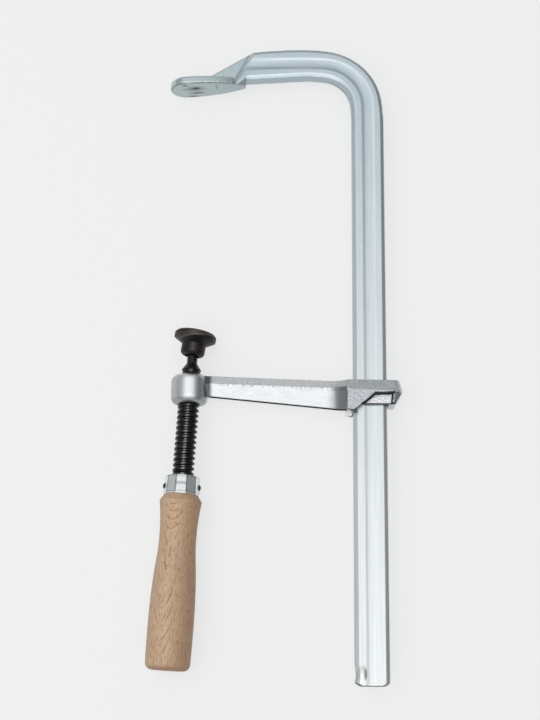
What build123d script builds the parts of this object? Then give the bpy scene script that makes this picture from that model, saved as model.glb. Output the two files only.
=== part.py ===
from build123d import *
from math import atan2, cos, degrees, radians, sin, sqrt, tan
import os

# All-steel screw clamp, in millimetres. The clamp lies flat: Z is across its thickness,
# Y runs along the bar towards the fixed jaw and X from the jaws towards the bar. The
# origin is the middle of the fixed jaw's clamping face.

# Bar
throat = 120.0
bar_width = 25.0
bar_depth = 12.0
bar_chamfer_across = 3.0
bar_chamfer_deep = 1.4
groove_width = 9.5
groove_depth = 0.6
groove_overrun = 20.0
bar_reach = 460.0

# Hook: the bar is bent a few degrees past square and narrows in the bend
toe_in = 4.0
bend_inner_radius = 23.0
bend_thinning = 1.0
bend_lead_radius = 100.0
bend_lead_turn = 8.0
inner_leg_rise = 9.9
leg_end = 36.3
leg_thinning = 0.8

# Turned chamfer and peened stop at the bar's free end
end_chamfer_start = 9.0
end_chamfer_angle = 30.0
stop_height = 3.0
stop_length = 11.0
stop_width = 4.0
stop_bump = 0.8
stop_dent = 1.0

# Fixed jaw
jaw_radius = 13.4
jaw_tip = 23.0
jaw_thickness = 6.4
jaw_straight_end = -8.0
jaw_root_half_width = 4.0
jaw_root_gap = 1.3
jaw_rim_round = 0.8
gusset_half_thickness = 3.2
gusset_foot = 1.4
gusset_bury = 1.0
gusset_slope = 31.7
crease_foot = 24.0
crease_slope = 61.5
crease_top = 39.6
crease_across = 3.4
tongue_end_run = 8.0
tongue_end_lean = 2.6
scoop_rise = 6.8
scoop_half_thickness = 2.9
shoulder_run = 9.5

# Sliding arm
arm_station = 244.5
boss_wall = 6.0
boss_side = -2.4
boss_top = 10.9
boss_bottom = -11.5
boss_round = 5.4
boss_blend_radius = 5.0
beam_half_depth = 8.5
beam_boss_x = 14.0
beam_eye_run = 16.0
beam_top_boss = 9.4
beam_top_eye = 6.6
beam_bottom_boss = -7.1
beam_bottom_eye = -15.0
beam_bottom_round = 1.6
flash_boss = 2.8
flash_eye = 0.3
upper_draft = 20.0
lower_draft = 19.0
forging_rise = 12.0
forging_drop = 19.0

# Eye of the sliding arm
eye_half_depth = 14.0
eye_draft = 2.0
eye_flare_slope = 30.0
eye_flare_round = 6.0
eye_flare_end = 5.0
eye_top = 6.7
eye_flash_drop = 1.2
eye_flash_lean = 2.5
eye_outer_wall = 12.2
eye_corner_radius = 8.0
eye_nose_height = 1.5
eye_nose_drop = 3.0
eye_nose_lean = 1.4
eye_crown_round = 6.7
eye_inner_drop = 17.4
eye_band_drop = 4.0
eye_band_run = 15.7
web_half_depth = 8.6
web_drop = 11.6
web_end_top = 4.6
web_end_foot = 3.2
outer_wall_draft = 23.0
outer_wall_knee = 1.8
outer_wall_knee_drop = 4.0
outer_wall_hip = 4.9
outer_wall_hip_drop = 8.6
outer_wall_foot = 6.0
guide_gap = 0.4

# Screw
screw_lean = 3.2
ball_side = -0.6
screw_diameter = 16.0
bore_gap = 0.05
nose_reach = 31.5
ball_radius = 5.6
neck_radius = 3.9
neck_end = 11.5
cone_end = 16.5
cone_step = 0.6
relief_depth = 1.2
relief_length = 1.2
tang_radius = 5.0
tang_length = 62.0
tang_chamfer = 1.0

# Snap ring round the ball's middle
ring_wire_radius = 0.9
ring_proud = 0.5
ring_groove_gap = 0.05
ring_gap_angle = 30.0

# Pressure plate
plate_radius = 15.8
plate_face_reach = 12.5
plate_rim = 4.9
plate_rim_round = 1.5
plate_cone = 4.1
plate_tilt = 5.75
socket_wall = 3.25
socket_bottom_round = 3.2
socket_lip = 5.4
socket_gap = 0.25
ring_slot_play = 1.6
ring_slot_gap = 0.5

# Ferrule and cross pin
ferrule_start = 97.5
ferrule_length = 13.8
ferrule_sides = 10
ferrule_top_wall = 0.8
ferrule_foot_wall = 1.7
ferrule_wall = 1.5
ferrule_round = 2.6
ferrule_dome_margin = 1.0
pin_radius = 2.0
pin_head_radius = 2.4
pin_head_height = 1.4
pin_seat_wall = 1.1
pin_seat_gap = 0.05
pin_seat_depth = 6.0
pin_drop = 7.8

# Handle, with its stations counted from the ferrule's foot
handle_length = 126.2
handle_shoulder = 4.6
handle_shoulder_radius = 15.5
handle_collar_radius = 12.4
handle_spigot_radius = 10.9
handle_waist = 31.7
handle_waist_radius = 13.5
handle_flank = 46.7
handle_flank_radius = 14.3
handle_swell = 60.7
handle_swell_radius = 15.5
handle_belly = 97.7
handle_belly_radius = 16.5
handle_end_radius = 16.2
handle_end_round = 5.0

half_depth = bar_depth / 2
leg_width = bar_width - leg_thinning
jaw_root = leg_end - jaw_root_gap
beam_eye_x = throat - beam_eye_run
screw_radius = screw_diameter / 2
boss_radius = screw_radius + boss_wall
ring_radius = ball_radius + ring_proud - ring_wire_radius
socket_radius = ball_radius + socket_gap + socket_wall
ferrule_foot = ferrule_start + ferrule_length
ferrule_top_flat = 2 * (handle_spigot_radius + ferrule_top_wall)
ferrule_foot_flat = 2 * (handle_spigot_radius + ferrule_foot_wall)
pin_station = ferrule_start + pin_drop
pin_seat_reach = handle_spigot_radius + pin_seat_wall


def turn_offset(radius, start, end):
    """Sideways and forward run of an arc that turns left from one heading to another."""
    sideways = -radius * (cos(radians(start)) - cos(radians(end)))
    forward = radius * (sin(radians(end)) - sin(radians(start)))
    return sideways, forward


def bend_steps(radius, lead_radius):
    """The bend as three tangent arcs: a lead-in, the tight middle and a lead-out."""
    turn = 90.0 + toe_in
    late = bend_lead_turn + toe_in
    return [(lead_radius, bend_lead_turn), (radius, turn - bend_lead_turn - late), (lead_radius, late)]


def bend_run(steps):
    """Total sideways and forward run of a chain of left-turning arcs."""
    heading = 0.0
    across = 0.0
    along = 0.0
    for radius, turn in steps:
        sideways, forward = turn_offset(radius, heading, heading + turn)
        across += sideways
        along += forward
        heading += turn
    return across, along


def bend_start(x, steps, distance):
    """Height where a bend starts, so its leg ends at a distance outside the inner leg."""
    inner_across, inner_along = bend_run(inner_steps)
    across, along = bend_run(steps)
    slope = radians(toe_in)
    gap_across = (x + across) - (throat + inner_across)
    needed = (distance + gap_across * sin(slope)) / cos(slope)
    return inner_start + inner_along + needed - along


def leg_point(steps, x, start, reach):
    """Point at a given x on the straight leg that follows a bend."""
    across, along = bend_run(steps)
    slope = tan(radians(toe_in))
    return (reach, start + along - (x + across - reach) * slope)


def bend_edges(x, foot, steps, start, reach):
    """Straight bar side, its bend and the leg after it, as joined edges."""
    edges = [Line((x, foot), (x, start))]
    heading = 90.0
    for radius, turn in steps:
        tip = edges[-1] @ 1
        edges.append(JernArc(tip, (cos(radians(heading)), sin(radians(heading))), radius, turn))
        heading += turn
    edges.append(Line(edges[-1] @ 1, leg_point(steps, x, start, reach)))
    return edges


bend_outer_radius = bend_inner_radius + bar_width + bend_thinning
inner_steps = bend_steps(bend_inner_radius, bend_lead_radius)
outer_steps = bend_steps(bend_outer_radius, bend_lead_radius + bar_width * 2)
middle_steps = bend_steps((bend_inner_radius + bend_outer_radius) / 2, bend_lead_radius + bar_width)

# The inner leg's highest point is a set height above the jaw face
apex_drop = bend_lead_radius * (1 - cos(radians(toe_in)))
inner_start = inner_leg_rise - bend_run(inner_steps)[1] - apex_drop
outer_start = bend_start(throat + bar_width, outer_steps, leg_width)
middle_start = bend_start(throat + bar_width / 2, middle_steps, leg_width / 2)


def jaw_face_height(x):
    """The clamping face leans in towards the bar by the toe-in angle."""
    return x * tan(radians(toe_in))


def swept_groove(z_face):
    """Shallow round-bottomed groove that follows the middle of a broad face."""
    sagitta = groove_depth
    radius = (groove_width ** 2 / 4 + sagitta ** 2) / (2 * sagitta)
    foot = -bar_reach - groove_depth
    tip = leg_end - groove_overrun
    path = Wire(bend_edges(throat + bar_width / 2, foot, middle_steps, middle_start, tip))
    side = 1 if z_face > 0 else -1
    plane = Plane(origin=path @ 0, x_dir=(1, 0, 0), z_dir=(0, 1, 0))
    profile = plane * Pos(0, -side * (half_depth - sagitta + radius)) * Circle(radius)
    return sweep(profile, path=path)


def bar_end_ring():
    """Waste outside the cone that is turned on the bar's free end."""
    rise = tan(radians(end_chamfer_angle))
    reach = bar_width
    with BuildSketch(Plane.XY) as waste:
        with BuildLine():
            rim = (reach, (reach - end_chamfer_start) * rise)
            Polyline((end_chamfer_start, 0), (reach, 0), rim, close=True)
        make_face()
    ring = revolve(waste.sketch, Axis.Y)
    return Pos(throat + bar_width / 2, -bar_reach, 0) * ring


def peened_stop():
    """Metal pushed up on both broad faces beside a dent, which keeps the arm on the bar."""
    middle = -bar_reach + stop_height + stop_length / 2
    across = throat + bar_chamfer_across + stop_width / 2
    reach = stop_length / 2
    radius = (reach ** 2 + stop_bump ** 2) / (2 * stop_bump)
    bumps = []
    for side in (1, -1):
        ball = Pos(across, middle, side * (half_depth + stop_bump - radius)) * Sphere(radius)
        near_face = Pos(across, middle, side * half_depth) * Box(stop_width, stop_length * 1.1, bar_depth)
        bumps.append(ball & near_face)
    return bumps


def stop_cutter():
    """Round-bottomed dent in the bar's inner edge beside the stop."""
    middle = -bar_reach + stop_height + stop_length / 2
    reach = stop_length / 2
    radius = (reach ** 2 + stop_dent ** 2) / (2 * stop_dent)
    return Pos(throat + stop_dent - radius, middle, 0) * Cylinder(radius, bar_depth * 2)


def crease_height(x):
    """Line where the bar's broad face drops to the gusset."""
    return jaw_face_height(crease_foot) + (x - crease_foot) * tan(radians(crease_slope))


def cut_above(first, second, third, side):
    """Waste on the outer side of a plane through three points, given for the upper broad face."""
    points = [Vector(x, y, side * z) for x, y, z in (first, second, third)]
    normal = (points[1] - points[0]).cross(points[2] - points[0])
    if normal.Z * side < 0:
        normal = normal * -1
    reach = 4 * leg_end
    plane = Plane(origin=points[0], x_dir=points[1] - points[0], z_dir=normal)
    return plane.location * Pos(0, 0, reach / 2) * Box(reach * 2, reach * 2, reach)


def forged_region(last_x):
    """Space round the forged end of the bar, up to a given x."""
    return Box(2 * last_x, 4 * leg_end, 4 * bar_depth)


def crease_cutter(side):
    """Slope from a broad face down to the gusset, all along the crease."""
    foot = (crease_foot, crease_height(crease_foot))
    top = (crease_top, crease_height(crease_top))
    lean = radians(crease_slope)
    ridge = (foot[0] + crease_across * sin(lean), foot[1] - crease_across * cos(lean), half_depth)
    waste = cut_above((*foot, gusset_half_thickness), (*top, gusset_half_thickness), ridge, side)
    return waste & forged_region(crease_top + crease_across * 2)


def scoop_cutter(side):
    """Slope that pinches the bar's end towards the clamping face."""
    start = leg_end - tongue_end_run
    floor = jaw_face_height(leg_end)
    left = (start, jaw_face_height(start), half_depth)
    low = (leg_end, floor, scoop_half_thickness)
    high = (leg_end, floor + scoop_rise, half_depth)
    return cut_above(left, low, high, side) & forged_region(leg_end)


def make_bar():
    """Bar with its bend and leg, chamfered all along and grooved on both broad faces."""
    outer_x = throat + bar_width
    outer = bend_edges(outer_x, -bar_reach, outer_steps, outer_start, crease_top + shoulder_run)
    inner = bend_edges(throat, -bar_reach, inner_steps, inner_start, leg_end)
    shoulder = outer[-1] @ 1
    step = inner[-1] @ 1
    foot = (leg_end, jaw_face_height(leg_end))
    heel = (crease_foot, jaw_face_height(crease_foot))
    crease = (crease_top, crease_height(crease_top))
    closing = Polyline(step, foot, heel, crease)
    droop = Line(crease, shoulder)
    base = Line(inner[0] @ 0, outer[0] @ 0)
    outline = make_face(outer + inner + [closing, droop, base])
    bar = extrude(outline, half_depth, both=True)
    for side in (0, -1):
        face = bar.faces().filter_by(Plane.XY).sort_by(Axis.Z)[side]
        runs = face.edges().filter_by(on_bar_side)
        bar = bar.chamfer(bar_chamfer_across, bar_chamfer_deep, runs, face)
    bar = bar - swept_groove(half_depth) - swept_groove(-half_depth)
    for side in (1, -1):
        bar = bar - crease_cutter(side) - scoop_cutter(side)
    bar = bar - bar_end_ring() - stop_cutter()
    for bump in peened_stop():
        bar = bar + bump
    return bar


def on_bar_side(edge):
    """True for the long edges that carry the chamfer, not for the bar's two ends."""
    middle = edge @ 0.5
    at_free_end = middle.Y < -bar_reach + 0.01
    at_forged_end = middle.X < crease_top and middle.X < leg_end + 0.01
    at_crease = middle.X < crease_top and abs(middle.Y - crease_height(middle.X)) < 0.01
    return not (at_free_end or at_forged_end or at_crease)


def jaw_plan():
    """The fixed jaw seen along the screw: a round tip that narrows to the bar's root."""
    centre = jaw_radius - jaw_tip
    with BuildSketch(Plane.XZ) as plan:
        with BuildLine():
            ThreePointArc((centre, jaw_radius), (-jaw_tip, 0), (centre, -jaw_radius))
            for side in (1, -1):
                Line((centre, side * jaw_radius), (jaw_straight_end, side * jaw_radius))
                flank_start = (jaw_straight_end, side * jaw_radius)
                TangentArc(flank_start, (jaw_root, side * jaw_root_half_width), tangent=(1, 0))
            Line((jaw_root, jaw_root_half_width), (jaw_root, -jaw_root_half_width))
        make_face()
    return plan.sketch


def make_jaw():
    """Tongue of even thickness, which leans by the toe-in."""
    block = extrude(jaw_plan(), jaw_radius * 2, both=True)
    left = -jaw_tip * 2
    low = leg_end - tongue_end_run
    high = low - tongue_end_lean
    outline = Polyline(
        (left, jaw_face_height(left)),
        (low, jaw_face_height(low)),
        (high, jaw_face_height(high) + jaw_thickness),
        (left, jaw_face_height(left) + jaw_thickness),
        close=True,
    )
    slab = extrude(make_face(outline), jaw_radius * 2, both=True)
    jaw = block & slab
    return jaw.fillet(jaw_rim_round, jaw.edges().filter_by(on_jaw_rim))


def on_jaw_rim(edge):
    """True for the tongue's long rims, not for its thickness lines or its buried end."""
    buried_end = leg_end - tongue_end_run - tongue_end_lean
    climbs = abs((edge @ 0).Y - (edge @ 1).Y) > jaw_thickness / 2
    return (edge @ 0.5).X < buried_end - jaw_rim_round / 2 and not climbs


def make_gusset():
    """Web between the tongue's back and the bar's end, pinched thinner than the bar."""
    foot = (gusset_foot, jaw_face_height(gusset_foot) + jaw_thickness)
    rise = (crease_top - gusset_foot) * tan(radians(gusset_slope))
    corner = (crease_top, foot[1] + rise)
    inside = (crease_top + gusset_bury * 4, corner[1] - gusset_bury * 8)
    root = (jaw_root - gusset_bury, jaw_face_height(jaw_root) + jaw_thickness / 4)
    buried = (gusset_foot + gusset_bury, foot[1] - jaw_thickness / 2)
    outline = Polyline(foot, corner, inside, root, buried, close=True)
    return extrude(make_face(outline), gusset_half_thickness, both=True)


def make_rail():
    return make_bar() + make_jaw() + make_gusset()


screw_place = Location((ball_side, nose_reach - arm_station, 0), (0, 0, -screw_lean))
plate_place = screw_place * Location((0, 0, 0), (0, 0, -plate_tilt))
shank_end = ferrule_start + ferrule_wall
eye_outer = throat + bar_width + eye_outer_wall
beam_flash_lean = degrees(atan2(flash_boss - flash_eye, beam_eye_x - beam_boss_x))


def beam_line(y_boss, y_eye, x):
    """Height on a straight line given at the boss end and at the eye end of the beam."""
    return y_boss + (y_eye - y_boss) * (x - beam_boss_x) / (beam_eye_x - beam_boss_x)


def arm_plan(flared):
    """Boss blend, beam and its flare to the eye, seen along the bar and closed inside the eye."""
    blend = boss_radius + boss_blend_radius
    rise = beam_half_depth + boss_blend_radius
    blend_x = boss_side + sqrt(blend ** 2 - rise ** 2)
    touch = (boss_side + (blend_x - boss_side) * boss_radius / blend, rise * boss_radius / blend)
    slope = radians(eye_flare_slope)
    arc_rise = eye_flare_round * (1 - cos(slope))
    flank_run = (eye_half_depth - beam_half_depth - arc_rise) / tan(slope)
    flare_end = throat - eye_flare_end
    flare_start = flare_end - flank_run - eye_flare_round * sin(slope)
    last_x = throat + eye_flare_end
    with BuildSketch() as plan:
        with BuildLine():
            Polyline((boss_side, 0), (boss_side, touch[1]), touch)
            RadiusArc(touch, (blend_x, beam_half_depth), -boss_blend_radius)
            Line((blend_x, beam_half_depth), (flare_start, beam_half_depth))
            if flared:
                arc = JernArc((flare_start, beam_half_depth), (1, 0), eye_flare_round, eye_flare_slope)
                Polyline(arc @ 1, (flare_end, eye_half_depth), (last_x, eye_half_depth), (last_x, 0))
            else:
                Polyline((flare_start, beam_half_depth), (last_x, beam_half_depth), (last_x, 0))
            mirror(about=Plane.XZ)
        make_face()
    return plan.sketch


def eye_plan():
    """The eye seen along the bar: a block with a rounded outer end."""
    left = throat - eye_flare_end
    with BuildSketch() as plan:
        with Locations(((left + eye_outer) / 2, 0)):
            Rectangle(eye_outer - left, 2 * eye_half_depth)
        fillet(plan.vertices().group_by(Axis.X)[-1], eye_corner_radius)
    return plan.sketch


def crown_plan():
    """Flare and eye as one outline, for the upper half of the forging."""
    with BuildSketch() as plan:
        add(arm_plan(True))
        add(eye_plan())
    return plan.sketch


def flash_plane(x, y, lean):
    """Plane of the forging's flash line through a point, leaning down towards the bar."""
    lean = radians(lean)
    return Plane(origin=(x, y, 0), x_dir=(cos(lean), -sin(lean), 0), z_dir=(sin(lean), cos(lean), 0))


def drafted(plan, plane, height, draft, below=False):
    """A plan pressed away from a flash plane, with draft on its sides."""
    block = extrude(plan, height, taper=draft)
    points_down = block.center().Z < 0
    if points_down != below:
        block = mirror(block, about=Plane.XY)
    return plane.location * block


def arm_front():
    """Front outline of the beam and the eye's thick band, which steps down to the inner side."""
    left = boss_side - screw_radius / 4
    nose = (eye_outer, eye_nose_height)
    crown_corner = (eye_outer - eye_crown_round, eye_top)
    with BuildSketch() as front:
        with BuildLine():
            Polyline(
                nose,
                (eye_outer - eye_nose_lean, -eye_nose_drop),
                (throat + eye_band_run, -eye_band_drop),
                (throat, -eye_inner_drop),
                (beam_eye_x, beam_bottom_eye),
                (left, beam_line(beam_bottom_boss, beam_bottom_eye, left)),
                (left, beam_line(beam_top_boss, beam_top_eye, left)),
                (beam_eye_x, beam_top_eye),
                (throat - eye_flare_end, eye_top),
                crown_corner,
            )
            TangentArc(nose, crown_corner, tangent=(0, 1))
        make_face()
    return front.sketch


def web_front():
    """Front outline of the eye's recessed lower web."""
    left = throat - 1.0
    right = throat + bar_width + web_end_top
    with BuildSketch() as front:
        with BuildLine():
            Polyline((left, 0), (right, 0), (right, -web_drop), (left, -web_drop), close=True)
        make_face()
    return front.sketch


def outer_wall_front():
    """Front outline of the eye's outer wall, which narrows towards its foot."""
    inside = throat + bar_width
    with BuildSketch() as front:
        with BuildLine():
            Polyline(
                (inside + web_end_top, 0),
                (eye_outer, 0),
                (eye_outer - outer_wall_knee, -outer_wall_knee_drop),
                (eye_outer - outer_wall_hip, -outer_wall_hip_drop),
                (eye_outer - outer_wall_foot, -web_drop),
                (inside + web_end_foot, -web_drop),
                close=True,
            )
        make_face()
    return front.sketch


def make_arm():
    """Drop-forged arm: drafted beam, boss for the screw and eye for the bar."""
    up = forging_rise
    down = forging_drop
    front = extrude(arm_front(), eye_half_depth * 2, both=True)
    beam_flash = flash_plane(0, beam_line(flash_boss, flash_eye, 0), beam_flash_lean)
    eye_flash = flash_plane(0, throat * tan(radians(eye_flash_lean)) - eye_flash_drop, eye_flash_lean)
    eye_side = Pos(beam_eye_x + eye_outer / 2, 0, 0) * Box(eye_outer, arm_station, eye_half_depth * 4)
    above_flash = eye_flash.location * Pos(0, 0, up / 2) * Box(eye_outer * 4, eye_half_depth * 4, up)
    beam_top = drafted(arm_plan(False), beam_flash, up, upper_draft) & front
    beam_foot = drafted(arm_plan(True), beam_flash, down, lower_draft, below=True) & front
    keel_length = (beam_eye_x - beam_boss_x) * 0.7
    low_edges = beam_foot.edges().filter_by(lambda edge: (edge @ 0.5).Y < -beam_half_depth)
    keel = low_edges.filter_by(lambda edge: edge.length > keel_length)
    beam_foot = beam_foot.fillet(beam_bottom_round, keel) - (above_flash & eye_side)
    crown = drafted(crown_plan(), eye_flash, up, upper_draft) & front & eye_side
    eye = drafted(eye_plan(), eye_flash, down, eye_draft, below=True)
    narrowed_eye = drafted(eye_plan(), eye_flash, down, outer_wall_draft, below=True)
    web = extrude(web_front(), web_half_depth, both=True) & eye
    outer_wall = extrude(outer_wall_front(), eye_half_depth, both=True) & narrowed_eye
    arm = beam_top + beam_foot + crown + (eye & front) + web + outer_wall
    boss = Cylinder(boss_radius, boss_top - boss_bottom, rotation=(90, 0, 0))
    boss = boss.fillet(boss_round, boss.edges().filter_by(GeomType.CIRCLE))
    arm = arm + Pos(boss_side, (boss_top + boss_bottom) / 2, 0) * boss
    bore = Cylinder(screw_radius + bore_gap, nose_reach * 2, rotation=(90, 0, 0))
    bore_place = Pos(0, arm_station, 0) * screw_place * Pos(0, -nose_reach, 0)
    window = Box(bar_width + 2 * guide_gap, arm_station, bar_depth + 2 * guide_gap)
    arm = arm - bore_place * bore - Pos(throat + bar_width / 2, 0, 0) * window
    return Pos(0, -arm_station, 0) * arm


def turned(points_and_arcs):
    """Solid of revolution about the local Y axis from a closed half profile."""
    return revolve(make_face(points_and_arcs), Axis.Y)


def pin_hole():
    """Hole for the cross pin, across the screw in the plane of the clamp."""
    return Pos(0, -pin_station, 0) * Cylinder(pin_radius, ferrule_foot_flat * 2, rotation=(0, 90, 0))


def pin_seats():
    """Flat round seats that the cross pin's heads sit on, one on each side of the ferrule."""
    seat = Cylinder(pin_head_radius + pin_seat_gap, pin_seat_depth, rotation=(0, 90, 0))
    reach = pin_seat_reach + pin_seat_depth / 2
    return [Pos(side * reach, -pin_station, 0) * seat for side in (1, -1)]


def make_screw():
    """Ball nose with a ring groove, neck, cone, shank and the tang inside the handle."""
    neck_top = -sqrt(ball_radius ** 2 - neck_radius ** 2)
    slant = ball_radius * sqrt(0.5)
    tang_foot = -shank_end - tang_length
    profile = [
        ThreePointArc((0, ball_radius), (slant, slant), (neck_radius, neck_top)),
        Polyline(
            (neck_radius, neck_top),
            (neck_radius, -neck_end),
            (screw_radius - cone_step, -cone_end),
            (screw_radius - relief_depth, -cone_end),
            (screw_radius - relief_depth, -cone_end - relief_length),
            (screw_radius, -cone_end - relief_length),
            (screw_radius, -shank_end),
            (tang_radius, -shank_end),
            (tang_radius, tang_foot + tang_chamfer),
            (tang_radius - tang_chamfer, tang_foot),
            (0, tang_foot),
            (0, ball_radius),
        ),
    ]
    groove_foot = ring_radius - ring_wire_radius - ring_groove_gap
    groove_half = ring_wire_radius + ring_groove_gap
    groove = Cylinder(ball_radius * 2, groove_half * 2, rotation=(90, 0, 0))
    groove = groove - Cylinder(groove_foot, groove_half * 4, rotation=(90, 0, 0))
    return screw_place * (turned(profile) - groove - pin_hole())


def make_snap_ring():
    """Open ring of round wire that sits in the groove of the ball."""
    wire = Pos(ring_radius, 0, 0) * Circle(ring_wire_radius)
    ring = revolve(wire, Axis.Y, revolution_arc=360.0 - ring_gap_angle)
    return screw_place * ring


def make_plate():
    """Pressure plate: disc, cone and socket, with a slot inside for the snap ring."""
    face = plate_face_reach
    under = face - plate_rim
    cone_foot = under - plate_cone
    rim_inner = plate_radius - plate_rim_round
    side_end = -socket_lip + socket_bottom_round
    flat_end = socket_radius - socket_bottom_round
    profile = [
        Polyline(
            (flat_end, -socket_lip),
            (0, -socket_lip),
            (0, face),
            (rim_inner, face),
            (plate_radius, face - plate_rim_round),
            (plate_radius, under),
            (socket_radius, cone_foot),
            (socket_radius, side_end),
        ),
        RadiusArc((socket_radius, side_end), (flat_end, -socket_lip), socket_bottom_round),
    ]
    plate = revolve(make_face(profile), Axis.Y)
    bore_radius = ball_radius + socket_gap
    bore_top = ball_radius + socket_gap
    bore = Pos(0, (bore_top - socket_lip * 2) / 2, 0) * Cylinder(
        bore_radius, bore_top + socket_lip * 2, rotation=(90, 0, 0)
    )
    slot_radius = ring_radius + ring_wire_radius + ring_slot_gap
    slot = Cylinder(slot_radius, 2 * (ring_wire_radius + ring_slot_play), rotation=(90, 0, 0))
    return plate_place * (plate - bore - slot)


def ferrule_polygon(flat):
    """The ferrule's cross-section with one flat facing up, from its size over the flats."""
    turn = 90.0 + 180.0 / ferrule_sides
    return RegularPolygon(flat / 2, ferrule_sides, major_radius=False, rotation=turn)


def make_ferrule():
    """Ten-sided tapered cap with a domed top, pierced for the screw and the cross pin."""
    top = Plane(origin=(0, -ferrule_start, 0), x_dir=(1, 0, 0), z_dir=(0, 1, 0))
    foot = Plane(origin=(0, -ferrule_foot, 0), x_dir=(1, 0, 0), z_dir=(0, 1, 0))
    cap = loft([foot * ferrule_polygon(ferrule_foot_flat), top * ferrule_polygon(ferrule_top_flat)])
    dome_radius = ferrule_foot_flat / 2 + ferrule_dome_margin
    dome = Cylinder(dome_radius, ferrule_length, rotation=(90, 0, 0))
    dome = Pos(0, -ferrule_start - ferrule_length / 2, 0) * dome
    dome = dome.fillet(ferrule_round, [dome.edges().sort_by(Axis.Y)[-1]])
    hollow_length = ferrule_length - ferrule_wall
    hollow = Pos(0, -shank_end - hollow_length / 2, 0) * Cylinder(
        handle_spigot_radius, hollow_length, rotation=(90, 0, 0)
    )
    eye = Pos(0, -ferrule_start, 0) * Cylinder(screw_radius, ferrule_wall * 4, rotation=(90, 0, 0))
    return screw_place * ((cap & dome) - hollow - eye - pin_hole() - pin_seats())


def make_cross_pin():
    """Pin riveted through the ferrule, with a domed head on each side."""
    head_length = ferrule_foot_flat / 2 + pin_head_height - pin_seat_reach
    head = Cylinder(pin_head_radius, head_length, rotation=(0, 90, 0))
    crown = head.edges().filter_by(GeomType.CIRCLE).sort_by(Axis.X)[-1]
    head = Pos(pin_seat_reach + head_length / 2, 0, 0) * head.fillet(pin_head_radius * 0.8, [crown])
    shank = Cylinder(pin_radius, pin_seat_reach * 2, rotation=(0, 90, 0))
    pin = shank + head + mirror(head, about=Plane.YZ)
    return screw_place * Pos(0, -pin_station, 0) * pin


def grip_point(radius, station):
    """Point on the handle's half profile, at a distance past the ferrule's foot."""
    return (radius, -ferrule_foot - station)


def make_handle():
    """Turned wooden handle with a spigot for the ferrule and a bore for the tang."""
    shoulder = grip_point(handle_shoulder_radius, handle_shoulder)
    waist = grip_point(handle_waist_radius, handle_waist)
    flank = grip_point(handle_flank_radius, handle_flank)
    swell = grip_point(handle_swell_radius, handle_swell)
    belly = grip_point(handle_belly_radius, handle_belly)
    heel = grip_point(handle_end_radius, handle_length - handle_end_round)
    heel_foot = grip_point(handle_end_radius - handle_end_round, handle_length)
    shoulder_arc = TangentArc(waist, shoulder, tangent=(0, 1))
    waist_arc = TangentArc(waist, flank, tangent=(0, -1))
    flank_arc = TangentArc(flank, swell, tangent=waist_arc % 1)
    belly_arc = TangentArc(swell, belly, tangent=flank_arc % 1)
    end_arc = TangentArc(belly, heel, tangent=(0, -1))
    knee = handle_end_round * (1 - cos(radians(45)))
    rounding = ThreePointArc(heel, grip_point(handle_end_radius - knee, handle_length - knee), heel_foot)
    spigot_end = (handle_spigot_radius, -shank_end)
    core = Polyline(heel_foot, (0, heel_foot[1]), (0, -shank_end), spigot_end)
    collar = grip_point(handle_collar_radius, 0)
    neck = Polyline(spigot_end, grip_point(handle_spigot_radius, 0), collar, shoulder)
    outline = [shoulder_arc, waist_arc, flank_arc, belly_arc, end_arc, rounding, core, neck]
    handle = revolve(make_face(outline), Axis.Y)
    tang = Cylinder(tang_radius, tang_length, rotation=(90, 0, 0))
    tang = Pos(0, -shank_end - tang_length / 2, 0) * tang
    return screw_place * (handle - tang - pin_hole())


def main():
    os.makedirs("parts", exist_ok=True)
    pieces = {
        "rail": make_rail(),
        "sliding_arm": make_arm(),
        "spindle": make_screw(),
        "plate_snap_ring": make_snap_ring(),
        "pressure_plate": make_plate(),
        "ferrule": make_ferrule(),
        "cross_pin": make_cross_pin(),
        "handle": make_handle(),
    }
    for name, piece in pieces.items():
        export_step(piece, os.path.join("parts", name + ".step"))


if __name__ == "__main__":
    main()
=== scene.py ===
# %% [markdown]
# # An all-steel screw clamp with a wooden handle
# The clamp lies flat on a pale table and is seen from above. Its solids come from the CAD
# frame, one per real piece. This script adds what the eye reads as real: the thread of the
# screw, the soft edges of the forgings, zinc, black oxide and beech. A length on the clamp is
# first written in millimetres, as on a drawing, and then turned to metres. The room, its
# lamps and the table are written in metres.

# %% Load the frame
import math

import bmesh
import bpy
from mathutils import Matrix, Vector, noise
from mathutils.bvhtree import BVHTree
from mathutils.kdtree import KDTree


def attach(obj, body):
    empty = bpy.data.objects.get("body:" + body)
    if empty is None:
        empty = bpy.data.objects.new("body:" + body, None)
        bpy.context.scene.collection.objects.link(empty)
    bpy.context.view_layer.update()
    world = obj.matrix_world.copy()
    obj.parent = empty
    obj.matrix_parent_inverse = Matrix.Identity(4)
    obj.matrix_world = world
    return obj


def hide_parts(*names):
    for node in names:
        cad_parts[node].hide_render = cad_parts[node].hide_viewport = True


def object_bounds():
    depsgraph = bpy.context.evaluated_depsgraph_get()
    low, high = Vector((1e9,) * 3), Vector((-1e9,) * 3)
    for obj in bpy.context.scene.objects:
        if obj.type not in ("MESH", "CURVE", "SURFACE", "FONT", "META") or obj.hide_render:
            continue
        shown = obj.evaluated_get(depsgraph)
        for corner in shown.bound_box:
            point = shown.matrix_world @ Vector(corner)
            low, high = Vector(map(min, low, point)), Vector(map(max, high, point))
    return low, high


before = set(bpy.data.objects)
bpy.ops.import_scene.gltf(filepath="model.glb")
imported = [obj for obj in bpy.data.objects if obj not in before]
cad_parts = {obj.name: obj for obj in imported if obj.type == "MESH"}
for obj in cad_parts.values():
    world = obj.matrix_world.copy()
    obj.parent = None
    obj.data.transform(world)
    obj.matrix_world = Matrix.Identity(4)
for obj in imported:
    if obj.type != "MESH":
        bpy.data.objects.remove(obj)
cad_low, cad_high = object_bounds()

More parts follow.
